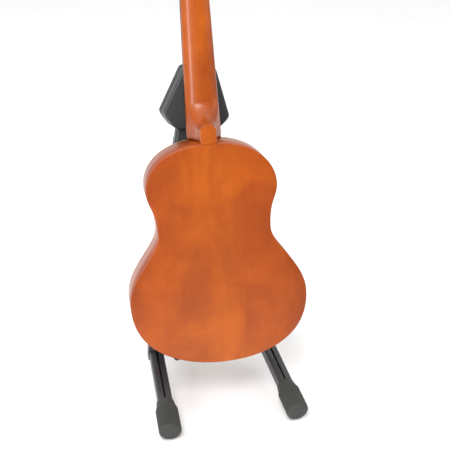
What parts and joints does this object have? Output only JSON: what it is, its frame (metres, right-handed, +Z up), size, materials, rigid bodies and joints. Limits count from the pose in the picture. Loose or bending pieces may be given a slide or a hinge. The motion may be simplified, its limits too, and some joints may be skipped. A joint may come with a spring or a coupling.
{
  "type": "guitar on stand",
  "caption": "Small classical guitar leaning back-outward on a folding A-frame floor stand with a plastic head, padded cradle arms and ribbed rubber feet.",
  "frame": {"origin": "on the floor, centred under the whole object's bounding box", "axes": "+Z up; -Y toward the viewer, where the front feet and the guitar's back face; +X to the viewer's right"},
  "size_m": [0.2712, 0.3279, 0.7689],
  "materials": {
    "stained_wood": "satin stain",
    "bare_wood": "bare",
    "soundboard_wood": "satin",
    "dark_wood": "oiled",
    "bone": "satin",
    "string": "gloss",
    "steel": "plated",
    "cream_plastic": "gloss",
    "black_plastic": "fine grain",
    "grey_plastic": "satin",
    "painted_steel": "satin black",
    "bolt_steel": "dark plated",
    "rubber": "matte",
    "foam": "matte foam"
  },
  "bodies": {
    "stand_head": {"head_front_shell": "black_plastic", "head_rear_shell": "black_plastic", "head_pad": "rubber", "head_pins": "steel", "head_screws": "steel", "lock_spring": "steel"},
    "lock_button": {"lock_button": "grey_plastic"},
    "guitar": {"back_plate": "stained_wood", "rib_left": "stained_wood", "rib_right": "stained_wood", "soundboard": "soundboard_wood", "rosette": "dark_wood", "linings": "bare_wood", "top_braces": "bare_wood", "back_braces": "bare_wood", "neck_block": "bare_wood", "tail_block": "bare_wood", "neck": "stained_wood", "heel_cap": "stained_wood", "fingerboard": "dark_wood", "frets": "steel", "nut": "bone", "bridge": "dark_wood", "saddle": "bone", "strings": "string", "tuner_plates": "steel", "tuner_screws": "steel"},
    "left_side": {"left_upright": "painted_steel", "left_front_leg": "painted_steel", "left_rear_leg": "painted_steel", "left_knee_block": "black_plastic", "left_brace": "painted_steel", "left_bolts": "bolt_steel", "left_front_foot": "rubber", "left_rear_foot": "rubber"},
    "left_cradle": {"left_cradle_arm": "painted_steel", "left_foam": "foam"},
    "right_side": {"right_upright": "painted_steel", "right_front_leg": "painted_steel", "right_rear_leg": "painted_steel", "right_knee_block": "black_plastic", "right_brace": "painted_steel", "right_bolts": "bolt_steel", "right_front_foot": "rubber", "right_rear_foot": "rubber"},
    "right_cradle": {"right_cradle_arm": "painted_steel", "right_foam": "foam"},
    "tuner_knob_1": {"tuner_knob_1": "cream_plastic"},
    "string_roller_1": {"string_roller_1": "cream_plastic"},
    "tuner_knob_2": {"tuner_knob_2": "cream_plastic"},
    "string_roller_2": {"string_roller_2": "cream_plastic"},
    "tuner_knob_3": {"tuner_knob_3": "cream_plastic"},
    "string_roller_3": {"string_roller_3": "cream_plastic"},
    "tuner_knob_4": {"tuner_knob_4": "cream_plastic"},
    "string_roller_4": {"string_roller_4": "cream_plastic"},
    "tuner_knob_5": {"tuner_knob_5": "cream_plastic"},
    "string_roller_5": {"string_roller_5": "cream_plastic"},
    "tuner_knob_6": {"tuner_knob_6": "cream_plastic"},
    "string_roller_6": {"string_roller_6": "cream_plastic"}
  },
  "joints": [
    {"name": "stand_fold_left", "type": "hinge", "parent": "stand_head", "child": "left_side", "pos_m": [-0.014, 0.0926, 0.4318], "axis": [0, -0.9707, 0.2402], "range_deg": [0, 7]},
    {"name": "stand_fold_right", "type": "hinge", "parent": "stand_head", "child": "right_side", "pos_m": [0.014, 0.0926, 0.4318], "axis": [0, 0.9707, -0.2402], "range_deg": [0, 7]},
    {"name": "cradle_drop_left", "type": "hinge", "parent": "left_side", "child": "left_cradle", "pos_m": [-0.065, 0.006, 0.06316], "axis": [1, 0, 0], "range_deg": [0, 32]},
    {"name": "cradle_drop_right", "type": "hinge", "parent": "right_side", "child": "right_cradle", "pos_m": [0.065, 0.006, 0.06316], "axis": [1, 0, 0], "range_deg": [0, 32]},
    {"name": "guitar_lift_off", "type": "slide", "parent": "stand_head", "child": "guitar", "axis": [0, 0, 1], "range_m": [0, 0.4]},
    {"name": "lock_press", "type": "slide", "parent": "stand_head", "child": "lock_button", "axis": [0, -0.2402, -0.9707], "range_m": [0, 0.003], "stiffness_N_per_m": 400, "springref_m": -0.001, "deforming": ["lock_spring"]},
    {"name": "tuner_1_turn", "type": "hinge", "parent": "guitar", "child": "tuner_knob_1", "pos_m": [-0.03539, 0.09963, 0.64861], "axis": [-0.1174, -0.9926, 0.0304], "continuous": true},
    {"name": "roller_1_turn", "type": "hinge", "parent": "guitar", "child": "string_roller_1", "pos_m": [-0.01961, 0.09805, 0.65801], "axis": [-0.9925, 0.1162, -0.0377], "continuous": true},
    {"name": "tuner_2_turn", "type": "hinge", "parent": "guitar", "child": "tuner_knob_2", "pos_m": [-0.03654, 0.1008, 0.68257], "axis": [-0.1174, -0.9926, 0.0304], "continuous": true},
    {"name": "roller_2_turn", "type": "hinge", "parent": "guitar", "child": "string_roller_2", "pos_m": [-0.02076, 0.09922, 0.69197], "axis": [-0.9925, 0.1162, -0.0377], "continuous": true},
    {"name": "tuner_3_turn", "type": "hinge", "parent": "guitar", "child": "tuner_knob_3", "pos_m": [-0.03769, 0.10198, 0.71653], "axis": [-0.1174, -0.9926, 0.0304], "continuous": true},
    {"name": "roller_3_turn", "type": "hinge", "parent": "guitar", "child": "string_roller_3", "pos_m": [-0.02191, 0.1004, 0.72593], "axis": [-0.9925, 0.1162, -0.0377], "continuous": true},
    {"name": "tuner_4_turn", "type": "hinge", "parent": "guitar", "child": "tuner_knob_4", "pos_m": [0.03019, 0.09403, 0.71911], "axis": [-0.1174, -0.9926, 0.0304], "continuous": true},
    {"name": "roller_4_turn", "type": "hinge", "parent": "guitar", "child": "string_roller_4", "pos_m": [0.01382, 0.09622, 0.72729], "axis": [0.9925, -0.1162, 0.0377], "continuous": true},
    {"name": "tuner_5_turn", "type": "hinge", "parent": "guitar", "child": "tuner_knob_5", "pos_m": [0.03135, 0.09285, 0.68515], "axis": [-0.1174, -0.9926, 0.0304], "continuous": true},
    {"name": "roller_5_turn", "type": "hinge", "parent": "guitar", "child": "string_roller_5", "pos_m": [0.01497, 0.09504, 0.69333], "axis": [0.9925, -0.1162, 0.0377], "continuous": true},
    {"name": "tuner_6_turn", "type": "hinge", "parent": "guitar", "child": "tuner_knob_6", "pos_m": [0.0325, 0.09168, 0.65119], "axis": [-0.1174, -0.9926, 0.0304], "continuous": true},
    {"name": "roller_6_turn", "type": "hinge", "parent": "guitar", "child": "string_roller_6", "pos_m": [0.01612, 0.09386, 0.65937], "axis": [0.9925, -0.1162, 0.0377], "continuous": true}
  ],
  "couplings": [
    {"joint": "stand_fold_right", "follows": "stand_fold_left", "ratio": 1},
    {"joint": "cradle_drop_left", "follows": "stand_fold_left", "ratio": 4.5714},
    {"joint": "cradle_drop_right", "follows": "stand_fold_left", "ratio": 4.5714},
    {"joint": "roller_1_turn", "follows": "tuner_1_turn", "ratio": 0.071429},
    {"joint": "roller_2_turn", "follows": "tuner_2_turn", "ratio": 0.071429},
    {"joint": "roller_3_turn", "follows": "tuner_3_turn", "ratio": 0.071429},
    {"joint": "roller_4_turn", "follows": "tuner_4_turn", "ratio": 0.071429},
    {"joint": "roller_5_turn", "follows": "tuner_5_turn", "ratio": 0.071429},
    {"joint": "roller_6_turn", "follows": "tuner_6_turn", "ratio": 0.071429}
  ]
}
